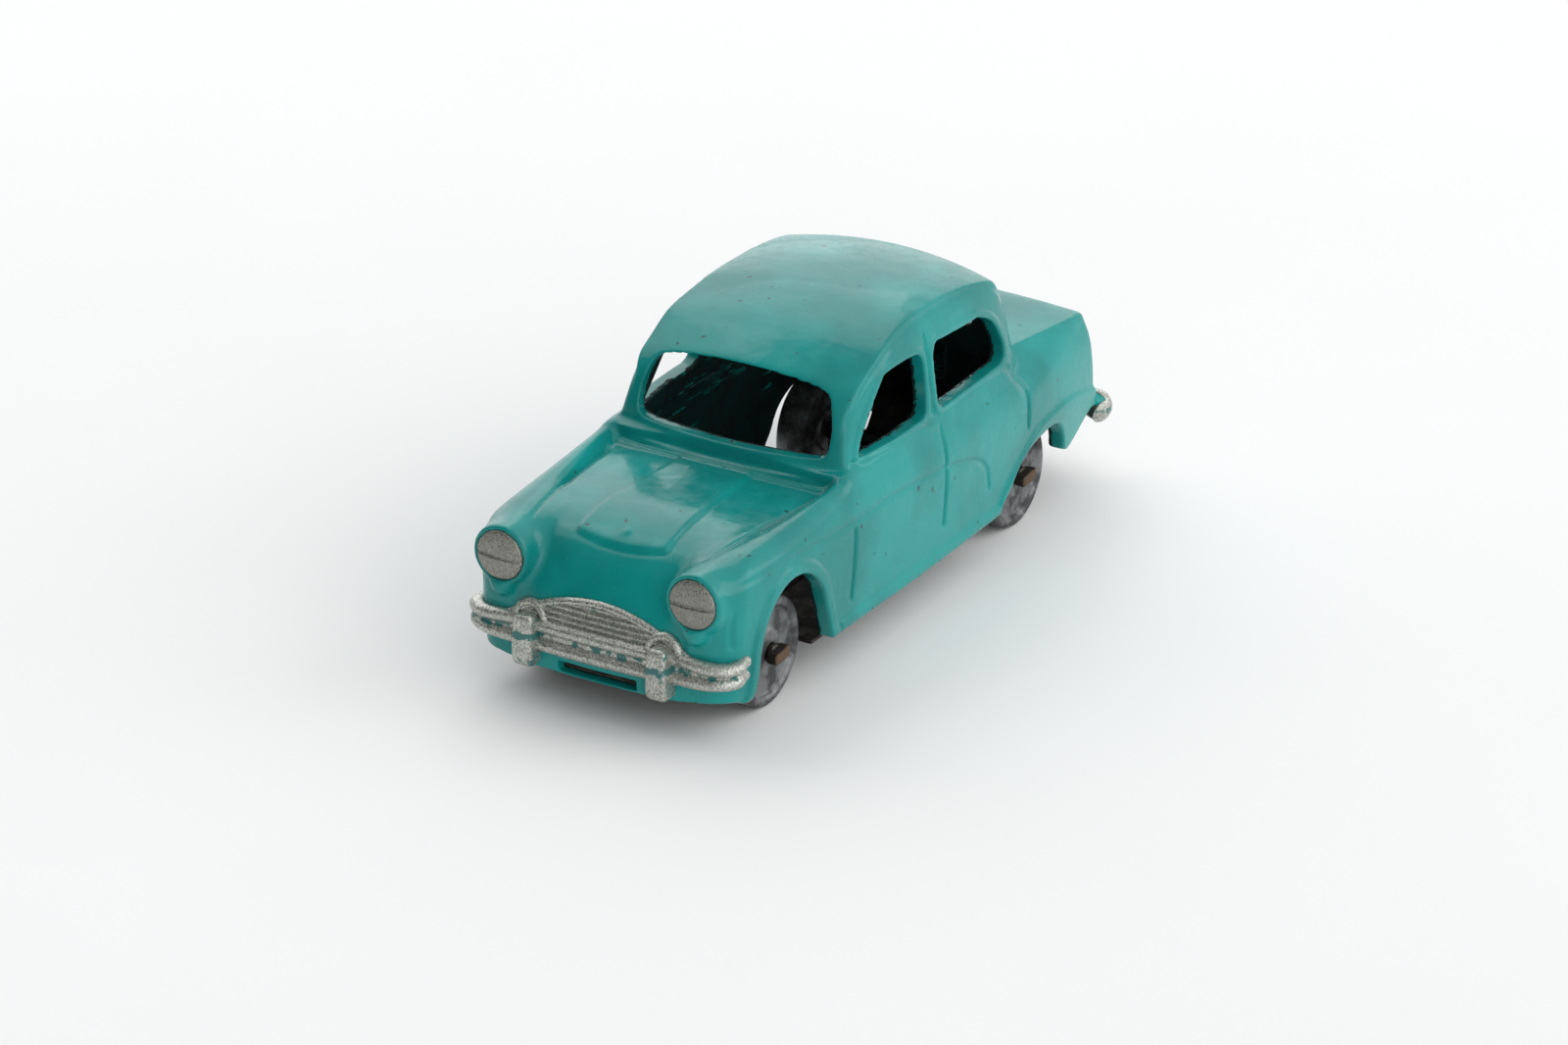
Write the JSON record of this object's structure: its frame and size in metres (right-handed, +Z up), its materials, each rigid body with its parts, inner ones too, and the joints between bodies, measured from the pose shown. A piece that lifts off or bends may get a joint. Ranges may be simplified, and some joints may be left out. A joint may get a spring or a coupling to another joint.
{
  "type": "toy car",
  "caption": "Pocket-size diecast four-door saloon car with a hollow cast body, pressed base plate and free-rolling wheels on crimped wire axles.",
  "frame": {"origin": "on the road, midway along and across the car", "axes": "+X to the front of the car, +Y to its left, +Z up"},
  "size_m": [0.06, 0.0224, 0.0228],
  "materials": {
    "enamel": "gloss enamel on zinc alloy",
    "silver_paint": "thin silver paint, worn",
    "bare_metal": "dull bare metal",
    "dark_steel": "oxidised wire"
  },
  "bodies": {
    "chassis": {"body_casting": "enamel", "base_plate": "bare_metal", "front_bumper": "silver_paint", "front_overrider_left": "silver_paint", "front_overrider_right": "silver_paint", "grille": "silver_paint", "headlamp_left": "silver_paint", "headlamp_right": "silver_paint", "rear_bumper": "silver_paint", "rear_overrider_left": "silver_paint", "rear_overrider_right": "silver_paint", "tail_lamp_left": "silver_paint", "tail_lamp_right": "silver_paint"},
    "front_axle_body": {"front_axle": "dark_steel"},
    "rear_axle_body": {"rear_axle": "dark_steel"},
    "front_left_wheel_body": {"wheel_front_left": "bare_metal"},
    "front_right_wheel_body": {"wheel_front_right": "bare_metal"},
    "rear_left_wheel_body": {"wheel_rear_left": "bare_metal"},
    "rear_right_wheel_body": {"wheel_rear_right": "bare_metal"}
  },
  "joints": [
    {"name": "front_axle_spin", "type": "hinge", "parent": "chassis", "child": "front_axle_body", "pos_m": [0.0202, 0, 0.0041], "axis": [0, 1, 0], "continuous": true},
    {"name": "rear_axle_spin", "type": "hinge", "parent": "chassis", "child": "rear_axle_body", "pos_m": [-0.0164, 0, 0.0041], "axis": [0, 1, 0], "continuous": true},
    {"name": "front_left_wheel_spin", "type": "hinge", "parent": "front_axle_body", "child": "front_left_wheel_body", "pos_m": [0.0202, 0.00805, 0.0041], "axis": [0, 1, 0], "continuous": true},
    {"name": "front_right_wheel_spin", "type": "hinge", "parent": "front_axle_body", "child": "front_right_wheel_body", "pos_m": [0.0202, -0.00805, 0.0041], "axis": [0, 1, 0], "continuous": true},
    {"name": "rear_left_wheel_spin", "type": "hinge", "parent": "rear_axle_body", "child": "rear_left_wheel_body", "pos_m": [-0.0164, 0.00805, 0.0041], "axis": [0, 1, 0], "continuous": true},
    {"name": "rear_right_wheel_spin", "type": "hinge", "parent": "rear_axle_body", "child": "rear_right_wheel_body", "pos_m": [-0.0164, -0.00805, 0.0041], "axis": [0, 1, 0], "continuous": true}
  ]
}
